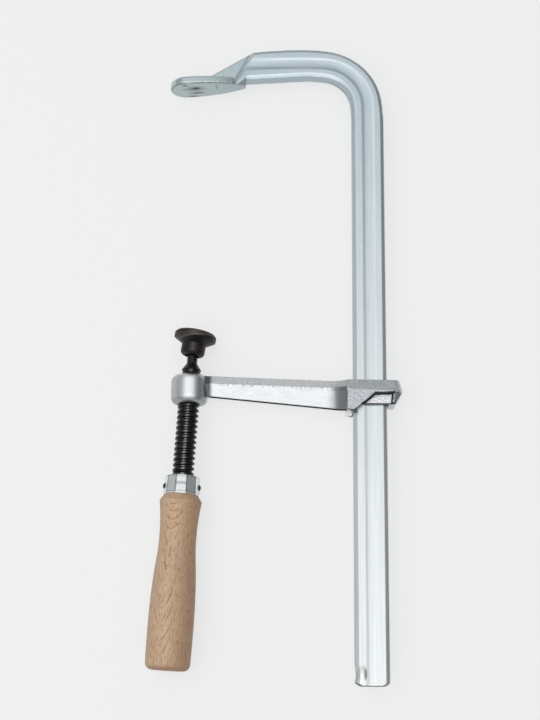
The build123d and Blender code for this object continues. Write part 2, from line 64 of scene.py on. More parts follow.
MM = 0.001
print("pieces in the frame:", sorted(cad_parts))

# %% [markdown]
# ## Camera
# The photograph was taken from above with a slight lean, from a little over a metre away.
# The focal length in pixels and the place come from lines that are straight and parallel
# on the real clamp. Blender wants a lens in millimetres on a 36 mm sensor along the long
# side of the picture, so 1400 pixels of 720 become 70 mm.

# %% Camera
PICTURE_HEIGHT = 720
FOCAL_PIXELS = 1400
SENSOR_MM = 36.0
CAMERA_PLACE = Vector((57.5, -486.28, 1021.44)) * MM
CAMERA_LEAN = math.radians(14.57)
CAMERA_ROLL = math.radians(0.53)

view_down = Vector((0, math.sin(CAMERA_LEAN), -math.cos(CAMERA_LEAN)))
level_up = Vector((0, math.cos(CAMERA_LEAN), math.sin(CAMERA_LEAN)))
across = math.cos(CAMERA_ROLL) * Vector((1, 0, 0)) + math.sin(CAMERA_ROLL) * level_up
upward = math.cos(CAMERA_ROLL) * level_up - math.sin(CAMERA_ROLL) * Vector((1, 0, 0))

camera_data = bpy.data.cameras.new("camera")
camera_data.sensor_width = SENSOR_MM
camera_data.lens = FOCAL_PIXELS / PICTURE_HEIGHT * SENSOR_MM
camera = bpy.data.objects.new("camera", camera_data)
bpy.context.scene.collection.objects.link(camera)
turn = Matrix((across, upward, -view_down)).transposed()
camera.matrix_world = Matrix.Translation(CAMERA_PLACE) @ turn.to_4x4()
bpy.context.scene.camera = camera
bpy.context.scene.view_settings.view_transform = "Standard"
print("lens in mm:", round(camera_data.lens, 1))

# %% [markdown]
# ## Two helpers for shaders
# A colour is easiest to read as the hex code that a paint program shows, but Blender's
# shaders count light, so one function turns the code into linear values. A second one adds
# a node: it takes the node's type without the word ShaderNode, sets the node's options, then
# fills its sockets, with a number, a colour or the output of an earlier node.

# %% Shader helpers
def linear(code):
    """An sRGB hex code as linear red, green, blue and a full alpha."""
    parts = [int(code[i:i + 2], 16) / 255 for i in (1, 3, 5)]
    return [p / 12.92 if p <= 0.04045 else ((p + 0.055) / 1.055) ** 2.4 for p in parts] + [1.0]


def add(tree, kind, sockets=None, **options):
    """Adds a node with its options, fills sockets by name or number, and gives its outputs."""
    node = tree.nodes.new("ShaderNode" + kind)
    for name, value in options.items():
        setattr(node, name, value)
    for key, value in (sockets or {}).items():
        if isinstance(value, bpy.types.NodeSocket):
            tree.links.new(value, node.inputs[key])
        else:
            node.inputs[key].default_value = value
    return node.outputs


# %% [markdown]
# ## Studio light
# Plated steel shows its surroundings, so the light is a soft room and not a few hard lamps.
# A long softbox hangs overhead, in line with the bar and a little towards the handle end. It
# is nearly even across and dims slowly along its length, so each face of the clamp takes a
# grey of its own from the way it is tilted. The room is brighter on the left, and it goes
# dark towards the horizon, which draws the thin dark lines along rounded edges. Places in
# this sky are written as parts of a ray of length 1.

# %% World
SOFTBOX_COLOUR = "#FBFDFF"
SOFTBOX_LEVEL = 0.96
SOFTBOX_MIDDLE = (-0.03, -0.22)
SOFTBOX_EVEN = 0.25
SOFTBOX_EDGE = 0.72
SOFTBOX_LENGTH = 1.45
SOFTBOX_FALL = 1.3
ROOM_LEVEL = 0.415
ROOM_LEFT = -0.175
HORIZON_SHARE = 0.55
HORIZON_TOP = 0.45

world = bpy.data.worlds.new("soft_room")
bpy.context.scene.world = world
world.use_nodes = True
sky = world.node_tree
sky.nodes.clear()
ray = add(sky, "SeparateXYZ", {0: add(sky, "TexCoord")["Generated"]})
height = add(sky, "MapRange", {"Value": ray["Z"], "From Max": HORIZON_TOP},
             interpolation_type="SMOOTHSTEP")[0]
off = [add(sky, "Math", {0: ray[axis], 1: middle}, operation="SUBTRACT")[0]
       for axis, middle in zip("XY", SOFTBOX_MIDDLE)]
off = [add(sky, "Math", {0: o}, operation="ABSOLUTE")[0] for o in off]
across_box = add(sky, "MapRange", {
    "Value": off[0], "From Min": SOFTBOX_EVEN, "From Max": SOFTBOX_EDGE,
    "To Min": SOFTBOX_LEVEL, "To Max": 0.0}, interpolation_type="SMOOTHSTEP")[0]
along_box = add(sky, "MapRange", {
    "Value": off[1], "From Max": SOFTBOX_LENGTH, "To Min": 1.0, "To Max": 0.0})[0]
along_box = add(sky, "Math", {0: along_box, 1: SOFTBOX_FALL}, operation="POWER")[0]
softbox = add(sky, "Math", {0: across_box, 1: along_box}, operation="MULTIPLY")[0]
softbox = add(sky, "Math", {0: softbox, 1: height}, operation="MULTIPLY")[0]
room = add(sky, "Math", {0: ray["X"], 1: ROOM_LEFT, 2: ROOM_LEVEL}, operation="MULTIPLY_ADD")[0]
low_room = add(sky, "MapRange", {"Value": height, "To Min": HORIZON_SHARE, "To Max": 1.0})[0]
level = add(sky, "Math", {0: room, 1: low_room, 2: softbox}, operation="MULTIPLY_ADD")[0]
light = add(sky, "Background", {"Color": linear(SOFTBOX_COLOUR), "Strength": level})[0]
add(sky, "OutputWorld", {"Surface": light})
print("nodes in the sky:", len(sky.nodes))

# %% [markdown]
# A large lamp to the left adds the side that the softbox lacks: the right flank of the
# handle goes darker and a soft shadow falls to the right of each piece. Its power follows
# from the light it should add: a little over a quarter of full white on a level face.

# %% Key lamp
KEY_SIZE = 1.5
KEY_SHARE = 0.28
KEY_PLACE = Vector((-0.60, -0.35, 1.40))
KEY_TARGET = Vector((0.06, -0.22, 0))

key_way = KEY_TARGET - KEY_PLACE
slant = -key_way.normalized().z
key_radiance = KEY_SHARE * math.pi * key_way.length_squared / (KEY_SIZE ** 2 * slant)
key_data = bpy.data.lights.new("key_softbox", "AREA")
key_data.shape = "SQUARE"
key_data.size = KEY_SIZE
key_data.energy = key_radiance * math.pi * KEY_SIZE ** 2
key = bpy.data.objects.new("key_softbox", key_data)
key_turn = key_way.to_track_quat("-Z", "Y").to_matrix()
key.matrix_world = Matrix.Translation(KEY_PLACE) @ key_turn.to_4x4()
key.visible_camera = False
key.visible_glossy = False
bpy.context.scene.collection.objects.link(key)
print("key lamp in watts:", round(key_data.energy, 1))

# %% [markdown]
# ## Table
# The clamp rests on the belly of its handle, so the table is just under the lowest point of
# the frame. Its colour is that of the photograph's backdrop. The camera and reflections see
# mostly a glow of that colour, which stays even from edge to edge, and a darker matt paint
# under it, which takes the soft shadow. All other rays meet plain pale paper. The table is
# wide, and its rim is turned up, so a low camera doesn't see the dark horizon behind it.

# %% Table
BACKDROP = "#EFEFEF"
TABLE_HALF = 15.0
TABLE_RIM = 1.0
TABLE_GAP = 0.1 * MM
TABLE_GLOW = 0.80
TABLE_PAINT = "#787878"

table_height = cad_low.z - TABLE_GAP
corners = [(x * TABLE_HALF, y * TABLE_HALF) for x, y in [(-1, -1), (1, -1), (1, 1), (-1, 1)]]
points = [(x, y, table_height + rise) for rise in (0, TABLE_RIM) for x, y in corners]
rim_faces = [(i, (i + 1) % 4, (i + 1) % 4 + 4, i + 4) for i in range(4)]
table_mesh = bpy.data.meshes.new("table")
table_mesh.from_pydata(points, [], [(0, 1, 2, 3)] + rim_faces)
table = bpy.data.objects.new("table", table_mesh)
bpy.context.scene.collection.objects.link(table)

paper = bpy.data.materials.new("pale_paper_backdrop")
paper.use_nodes = True
sheet = paper.node_tree
sheet.nodes.clear()
rays = add(sheet, "LightPath")
seen = add(sheet, "Math", {0: rays["Is Camera Ray"], 1: rays["Is Glossy Ray"]},
           operation="MAXIMUM")[0]
seen = add(sheet, "Math", {0: seen, 1: rays["Is Transmission Ray"]}, operation="MAXIMUM")[0]
matt = add(sheet, "BsdfDiffuse", {"Color": linear(TABLE_PAINT)})[0]
glow = add(sheet, "Emission", {"Color": linear(BACKDROP), "Strength": TABLE_GLOW})[0]
both = add(sheet, "AddShader", {0: matt, 1: glow})[0]
plain = add(sheet, "BsdfDiffuse", {"Color": linear(BACKDROP)})[0]
shown = add(sheet, "MixShader", {0: seen, 1: plain, 2: both})[0]
add(sheet, "OutputMaterial", {"Surface": shown})
table_mesh.materials.append(paper)
print("table height in mm:", round(table_height / MM, 2))

# %% [markdown]
# ## Starting a finish
# Every finish begins in the same way: a Principled shader, and the place on the piece in
# millimetres, so that a pattern's size can be written as it would be measured. Patches of
# noise are the usual way to make a real surface vary, so a helper turns noise into a mask, a
# value from 0 to 1 that is 1 only where the noise is high. Masks also come from a place, a
# face's direction or a mark, and they are multiplied where several must hold. A colour is
# then painted in layers, the clean skin first and then what dulls, stains and wears it.

# %% Start of a finish
def new_finish(name, lean_deg=0.0):
    """A named material, its tree, its shader, and the place in millimetres, turned about Z."""
    finish = bpy.data.materials.new(name)
    finish.use_nodes = True
    tree = finish.node_tree
    tree.nodes.clear()
    shader = tree.nodes.new("ShaderNodeBsdfPrincipled")
    add(tree, "OutputMaterial", {"Surface": shader.outputs[0]})
    place = add(tree, "TexCoord")["Object"]
    in_mm = add(tree, "Mapping", {
        "Vector": place, "Rotation": (0, 0, math.radians(lean_deg)), "Scale": [1 / MM] * 3})[0]
    return finish, tree, shader, in_mm


def overlap(tree, *masks):
    """Masks multiplied, so that all of them must hold. A plain number weakens the rest."""
    amount = masks[0]
    for mask in masks[1:]:
        amount = add(tree, "Math", {0: amount, 1: mask}, operation="MULTIPLY")[0]
    return amount


def patches(tree, in_mm, size, low, high, detail=3.0):
    """Noise with patches of this size in X, Y and Z, 0 below low and 1 above high."""
    scaled = add(tree, "VectorMath", {0: in_mm, 1: [1 / s for s in size]}, operation="MULTIPLY")[0]
    cloud = add(tree, "TexNoise", {"Vector": scaled, "Scale": 1.0, "Detail": detail})[0]
    return add(tree, "MapRange", {"Value": cloud, "From Min": low, "From Max": high})[0]


def mark(tree, in_mm, middle, size):
    """A soft mark: 1 in its inner quarter, 0 at its rim, with a half size in X, Y and Z."""
    off = add(tree, "VectorMath", {0: in_mm, 1: middle}, operation="SUBTRACT")[0]
    scaled = add(tree, "VectorMath", {0: off, 1: [1 / s for s in size]}, operation="MULTIPLY")[0]
    away = add(tree, "VectorMath", {0: scaled}, operation="LENGTH")["Value"]
    return add(tree, "MapRange", {"Value": away, "From Min": 0.25, "To Min": 1.0, "To Max": 0.0},
               interpolation_type="SMOOTHSTEP")[0]


def band(tree, value, rise, fall, most=1.0):
    """0, rising softly to its most between two values, and falling back between two others."""
    up = add(tree, "MapRange", {"Value": value, "From Min": rise[0], "From Max": rise[1]},
             interpolation_type="SMOOTHSTEP")[0]
    down = add(tree, "MapRange", {
        "Value": value, "From Min": fall[0], "From Max": fall[1], "To Min": most, "To Max": 0.0},
        interpolation_type="SMOOTHSTEP")[0]
    return overlap(tree, up, down)


def painted(tree, colour, *layers):
    """Layers of colour over the first one. Each shows where all of its masks hold."""
    for over, *masks in layers:
        over = linear(over) if isinstance(over, str) else over
        amount = overlap(tree, *masks)
        colour = add(tree, "Mix", {0: amount, 6: colour, 7: over}, data_type="RGBA")[2]
    return colour


def finish_off(tree, shader, colour, roughness, relief, depth_mm):
    """Joins colour and roughness, and makes the relief a bump that is this deep."""
    bump = add(tree, "Bump", {"Height": relief, "Strength": 1.0, "Distance": depth_mm * MM})[0]
    tree.links.new(colour, shader.inputs["Base Color"])
    tree.links.new(roughness, shader.inputs["Roughness"])
    tree.links.new(bump, shader.inputs["Normal"])


def dress(obj, finish):
    """One finish for the whole piece."""
    obj.data.materials.clear()
    obj.data.materials.append(finish)
    print(obj.name, "is", finish.name, "of", len(finish.node_tree.nodes), "nodes")


# %% [markdown]
# ## Softened forgings
# CAD edges are sharper than steel ever is. A forging's edges are rounded by the die and by
# blasting, and its zinc is thinner on them. A copy of the CAD solid is remeshed into small
# even squares and smoothed, which rounds every edge by about one square. Points that
# smoothing hardly moved are put back on the CAD surface, so flat faces stay flat. Each point
# also keeps two numbers for the finish: how near it is to an outer edge and to an inner
# corner of the CAD solid. The finishes use them to paint highlight and shade on the edges
# and shade into the corners.

# %% Softened copies
CREASE_DEG = 18
BACK_BELOW = 0.05
FREE_ABOVE = 0.15


def crease_points(mesh, step_mm):
    """Points along a mesh's sharp edges, the outer ones and the inner ones apart."""
    shell = bmesh.new()
    shell.from_mesh(mesh)
    bmesh.ops.remove_doubles(shell, verts=shell.verts, dist=0.001 * MM)
    outer, inner = [], []
    for edge in shell.edges:
        if len(edge.link_faces) != 2 or edge.calc_face_angle() < math.radians(CREASE_DEG):
            continue
        ends = [v.co for v in edge.verts]
        steps = max(1, round(edge.calc_length() / (step_mm * MM)))
        kept = outer if edge.is_convex else inner
        kept.extend(ends[0].lerp(ends[1], k / steps) for k in range(steps + 1))
    shell.free()
    return outer, inner


def nearness(mesh, points, reach_mm):
    """For each point of the mesh, 1 on the nearest listed point and 0 beyond the reach."""
    tree = KDTree(len(points))
    for i, point in enumerate(points):
        tree.insert(point, i)
    tree.balance()
    away = [tree.find(v.co)[2] / (reach_mm * MM) for v in mesh.vertices]
    return [max(0.0, 1 - a) for a in away]


def smooth(share):
    """0 up to 0, 1 from 1 on, and a soft step between."""
    share = min(1.0, max(0.0, share))
    return share * share * (3 - 2 * share)


def softened(node, name, square_mm, passes, reach_mm):
    """A remeshed and smoothed copy of a CAD node, with its edges and corners marked."""
    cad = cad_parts[node].data
    block = bpy.data.objects.new(name, cad.copy())
    bpy.context.scene.collection.objects.link(block)
    remesh = block.modifiers.new("even_squares", "REMESH")
    remesh.mode = "VOXEL"
    remesh.voxel_size = square_mm * MM
    seen_block = block.evaluated_get(bpy.context.evaluated_depsgraph_get())
    mesh = bpy.data.meshes.new_from_object(seen_block)
    mesh.name = name
    block.modifiers.clear()
    block.data = mesh
    shell = bmesh.new()
    shell.from_mesh(mesh)
    for _ in range(passes):
        bmesh.ops.smooth_vert(shell, verts=shell.verts, factor=0.5,
                              use_axis_x=True, use_axis_y=True, use_axis_z=True)
    surface = BVHTree.FromPolygons([v.co for v in cad.vertices], [p.vertices for p in cad.polygons])
    for v in shell.verts:
        spot, _, _, away = surface.find_nearest(v.co)
        free = smooth((away / MM - BACK_BELOW) / (FREE_ABOVE - BACK_BELOW))
        v.co = spot.lerp(v.co, free)
    shell.to_mesh(mesh)
    shell.free()
    mesh.shade_smooth()
    for field, points in zip(("outer_edge", "inner_corner"), crease_points(cad, square_mm)):
        near = nearness(mesh, points, reach_mm)
        mesh.attributes.new(field, "FLOAT", "POINT").data.foreach_set("value", near)
    print(name, "points:", len(mesh.vertices))
    return block


# %% [markdown]
# ## The rail
# One forging is bar, bent hook and fixed jaw. Streaks on it follow the bar, also round the
# bend, because the bar was drawn first and bent later. So each point keeps its place as if
# the hook were still straight, and the finish lays its streaks out in that place.

# %% Run of the bar
BEND_MIDDLE = Vector((97.0, -15.0))
BEND_RADIUS = 35.5


def bar_place(point_mm):
    """A point's place as if the hook were still a straight bar: across, along, up."""
    away = point_mm.xy - BEND_MIDDLE
    if away.y < 0:
        return (point_mm.x, point_mm.y, point_mm.z)
    if away.x > 0:
        turned = math.atan2(away.y, away.x)
        return (BEND_MIDDLE.x + away.length, BEND_MIDDLE.y + BEND_RADIUS * turned, point_mm.z)
    leg = BEND_MIDDLE.y + BEND_RADIUS * math.pi / 2 - away.x
    return (BEND_MIDDLE.x + away.y, leg, point_mm.z)


rail = softened("rail", "rail_forging", square_mm=0.75, passes=3, reach_mm=1.2)
run = [c for v in rail.data.vertices for c in bar_place(v.co / MM)]
rail.data.attributes.new("bar_place", "FLOAT_VECTOR", "POINT").data.foreach_set("vector", run)
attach(rail, "rail")
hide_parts("rail")

# %% [markdown]
# The bar is cold-drawn, and the whole piece is plated with bright zinc and passivated a
# faint blue. Drawing leaves fine lines along the bar, and plating on a bent forging leaves
# slow waves, so bright and dull patches run into each other. Real drawing lines are
# hundredths of a millimetre apart: here they are drawn 0.9 mm wide, as coarse as they need
# to be to show. Work has stained the jaw's face; each stain is a mark with a middle, a half
# size and a strength. A dark patch lies on the sides at the foot of the bar. Light and shade
# are painted on too: a reflection bluer towards the bend, shade on the sides, corners and
# gusset, and highlights on the edges and the groove's lip.

# %% Zinc on drawn steel
DRAWN_LINE = 0.9
FOOT_MARK = ((121.0, -453.0, 0.0), (4.0, 7.0, 10.0))
JAW_MARKS = [
    ((-4.0, -0.2, 2.6), (12.0, 5.0, 6.0), 0.55),
    ((-3.1, -0.2, 3.4), (4.6, 4.0, 2.8), 1.0),
    ((-2.5, -0.1, -4.9), (9.5, 4.0, 1.8), 1.0),
    ((-6.0, -0.3, -10.6), (6.5, 3.0, 1.5), 0.9),
    ((-11.5, 0.0, 9.0), (4.0, 3.0, 2.5), 0.7),
    ((13.6, 0.5, 4.5), (1.6, 3.0, 9.0), 0.35),
]


def zinc_plated_drawn_steel():
    """Bright zinc with long dull streaks and stains where work was held, painted bluer towards the
    bend as a reflection, with painted shade and highlights.
    """
    finish, tree, shader, in_mm = new_finish("bright_zinc_plated_drawn_steel")
    run = add(tree, "Attribute", attribute_name="bar_place")["Vector"]
    lines = patches(tree, run, (DRAWN_LINE, 60, DRAWN_LINE), 0.3, 0.7)
    clouds = patches(tree, run, (8, 30, 8), 0.35, 0.65)
    waves = patches(tree, run, (9, 16, 9), 0.3, 0.7, 1.0)
    scuffs = patches(tree, run, (1.0, 1.6, 1.0), 0.66, 0.74, 2.0)
    skin = patches(tree, in_mm, (1.1, 1.1, 1.1), 0.3, 0.7)
    blots = patches(tree, in_mm, (2.2, 1.6, 0.8), 0.25, 0.48)
    inner = add(tree, "Attribute", attribute_name="inner_corner")["Fac"]
    outer = add(tree, "Attribute", attribute_name="outer_edge")["Fac"]
    on_run = add(tree, "SeparateXYZ", {0: run})
    where = add(tree, "SeparateXYZ", {0: in_mm})
    faces = add(tree, "SeparateXYZ", {0: add(tree, "TexCoord")["Normal"]})
    upright = add(tree, "Math", {0: faces["Z"]}, operation="ABSOLUTE")[0]

    # Where on the rail: along the run, at the jaw, on the gusset, the hook, the bar's foot.
    near_bend = add(tree, "MapRange", {"Value": on_run["Y"], "From Min": -330, "From Max": -20})[0]
    at_jaw = add(tree, "MapRange", {"Value": where["X"], "From Min": 30, "From Max": 14})[0]
    on_gusset = add(tree, "MapRange", {
        "Value": where["X"], "From Min": 42, "From Max": 36, "To Max": 0.3})[0]
    past_gusset = add(tree, "MapRange", {"Value": where["X"], "From Min": 36, "From Max": 42})[0]
    on_hook = overlap(tree, near_bend, past_gusset)
    on_bar = add(tree, "MapRange", {"Value": where["X"], "From Min": 100, "From Max": 115})[0]
    above_stop = add(tree, "MapRange", {"Value": where["Y"], "From Min": -438, "From Max": -428})[0]
    low_end = add(tree, "MapRange", {"Value": where["Y"], "From Min": -452, "From Max": -455})[0]

    # Which way the skin faces: sideways, up, or down the bar. Painted shade darkens the sides,
    # most where they are low.
    side = add(tree, "MapRange", {
        "Value": upright, "From Min": 0.25, "From Max": 0.65, "To Min": 0.85, "To Max": 0.0})[0]
    low_side = add(tree, "MapRange", {
        "Value": where["Z"], "From Min": 1.5, "From Max": -4.0, "To Max": 0.85})[0]
    facing_up = add(tree, "MapRange", {"Value": upright, "From Min": 0.5, "From Max": 0.8})[0]
    turned_down = add(tree, "MapRange", {
        "Value": faces["Y"], "From Min": -0.25, "From Max": -0.6})[0]
    foot_shade = add(tree, "MapRange", {
        "Value": faces["Y"], "From Min": -0.3, "From Max": -0.8, "To Max": 0.9})[0]

    # Painted highlight on the worn edges, painted shade in the corners and on the jaw's rim,
    # and the painted highlight and shade that the groove draws round the bend.
    worn_edge_highlight = add(tree, "MapRange", {
        "Value": outer, "From Min": 0.35, "From Max": 0.95, "To Max": 0.4})[0]
    corner_shade = add(tree, "MapRange", {
        "Value": inner, "From Min": 0.5, "From Max": 1.0, "To Max": 0.75})[0]
    jaw_rim = band(tree, outer, (0.45, 0.8), (2.0, 3.0), 0.8)
    groove_lip = band(tree, on_run["X"], (135.4, 136.6), (137.0, 138.6), 0.5)
    groove_wall = band(tree, on_run["X"], (127.2, 128.2), (128.8, 130.8), 0.5)
    foot_blot = mark(tree, in_mm, *FOOT_MARK)

    # The colour of the painted shade on the sides, greener at the jaw.
    side_shade_colour = painted(tree, linear("#A9B4B8"), ("#B7C2BE", at_jaw))
    colour = painted(
        tree, linear("#EEF0EE"),
        # painted reflection: bluer and darker towards the bend, where the bluish light falls
        ("#CBD9E0", near_bend),
        ("#E9EEEE", clouds, 0.35),
        ("#C3CED3", lines, 0.28),
        ("#A9BAC3", skin, near_bend, 0.25),
        ("#CFDAD6", at_jaw, 0.8),
        # painted shade on the sides, deepest low on the bar's sides
        (side_shade_colour, side),
        ("#727E84", side, low_side, on_bar),
        # a dark patch on the sides at the bar's foot
        ("#3A4247", foot_blot, side, 0.85),
        # painted shade on the recessed gusset
        ("#A3B4BD", on_gusset),
        # painted highlight on the groove's lip, painted shade on its wall
        ("#F4F9FA", groove_lip, on_hook),
        ("#8A9EA9", groove_wall, on_hook),
        # painted highlight along the outer edges, where the zinc is also worn thin
        ("#FBFDFC", worn_edge_highlight, facing_up, near_bend),
        ("#8D969B", scuffs, near_bend, 0.5),
        # painted shade in the inner corners above the stop
        ("#5A6266", corner_shade, above_stop),
        # painted shade on the faces that look down the bar at its foot
        ("#2E3438", foot_shade, low_end),
        # painted shade along the rim of the jaw's face
        ("#4E5756", jaw_rim, turned_down, at_jaw))
    for middle, size, strength in JAW_MARKS:
        stain = mark(tree, in_mm, middle, size)
        colour = painted(tree, colour, ("#474441", stain, blots, turned_down, strength))
    dull = add(tree, "Math", {0: lines, 1: 0.07, 2: 0.24}, operation="MULTIPLY_ADD")[0]
    dull = add(tree, "Math", {0: side, 1: 0.10, 2: dull}, operation="MULTIPLY_ADD")[0]
    relief = add(tree, "Math", {0: waves, 1: 5.0, 2: lines}, operation="MULTIPLY_ADD")[0]
    relief = add(tree, "Math", {0: skin, 1: 1.5, 2: relief}, operation="MULTIPLY_ADD")[0]
    finish_off(tree, shader, colour, dull, relief, depth_mm=0.005)
    shader.inputs["Metallic"].default_value = 1.0
    return finish


dress(rail, zinc_plated_drawn_steel())

# %% [markdown]
# ## The sliding arm
# The arm is drop-forged, blasted with grit and zinc-plated without polishing, so it is paler
# and duller than the rail and has an even grain. Where the two dies met, the trimmed flash
# leaves an uneven line along the beam, and the hammer leaves the skin slightly wavy. Both
# are moved into the mesh, and faded out near the bar's window and the bore, where the real
# arm is machined.

# %% Arm
FLASH_START = Vector((11.0, -241.6))
FLASH_END = Vector((104.0, -244.2))
FLASH_HEIGHT = 0.2
FLASH_WIDTH = 0.42
FLASH_WANDER = 0.55
FLASH_FROM_UPRIGHT = 0.4
WINDOW_LOW = Vector((118.5, -266.0, -7.5))
WINDOW_HIGH = Vector((147.0, -232.0, 7.5))
BORE_PLACE = Vector((-2.4, -244.5))
BORE_KEEP = 10.0
BORE_FADE = 4.0
HAMMER_WAVES = [(9.0, 0.035), (2.5, 0.012)]
HAMMER_SUNK = 0.05


def hammered(point_mm):
    """How far forging moves a point along its normal, in millimetres."""
    off_axis = math.hypot(point_mm.x - BORE_PLACE.x, point_mm.z)
    in_window = all(lo < p < hi for lo, p, hi in zip(WINDOW_LOW, point_mm, WINDOW_HIGH))
    if in_window or off_axis < BORE_KEEP:
        return 0.0
    away = min(1.0, (off_axis - BORE_KEEP) / BORE_FADE)
    wave = sum(noise.noise(point_mm / size) * depth for size, depth in HAMMER_WAVES)
    return wave * away - HAMMER_SUNK


def flash_ridge(point_mm):
    """Height of the trimmed flash: an uneven ridge along the line where the dies met."""
    along = (point_mm.x - FLASH_START.x) / (FLASH_END.x - FLASH_START.x)
    if not 0 < along < 1:
        return 0.0
    line = FLASH_START.y + (FLASH_END.y - FLASH_START.y) * along
    line += noise.noise(Vector((point_mm.x / 3.0, 5.0, 0.0))) * FLASH_WANDER
    ragged = 0.5 + noise.noise(Vector((point_mm.x / 1.6, 0.0, 9.0)))
    fade = min(1.0, along * 12, (1 - along) * 12)
    return max(0.0, ragged) * fade * math.exp(-((point_mm.y - line) / FLASH_WIDTH) ** 2)


arm = softened("sliding_arm", "arm_forging", square_mm=0.5, passes=4, reach_mm=1.8)
normals = [v.normal.copy() for v in arm.data.vertices]
ridges = []
for v, normal in zip(arm.data.vertices, normals):
    point_mm = v.co / MM
    ridge = flash_ridge(point_mm) if abs(normal.z) > FLASH_FROM_UPRIGHT else 0.0
    ridges.append(ridge)
    v.co += normal * hammered(point_mm) * MM
    v.co.z += math.copysign(ridge * FLASH_HEIGHT, point_mm.z) * MM
arm.data.attributes.new("flash", "FLOAT", "POINT").data.foreach_set("value", ridges)
arm.data.update()
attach(arm, "sliding_arm")
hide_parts("sliding_arm")

# %% [markdown]
# Its finish is the zinc of the rail on a rough skin. The hollows beside the boss and before
# the eye get painted shade, and so do the web's walls and corners and the beam's lower edge.
# A painted highlight runs along the boss's crown, and the lower lug is painted pale as a
# reflection of the table. The grain of real grit blasting is 0.2 to 0.5 mm: it is drawn at
# 0.9 mm so that the render can show it.

# %% Zinc on the forging
GRIT = 0.9
# The grey of the shade painted on the arm.
PAINTED_SHADE = "#34373C"


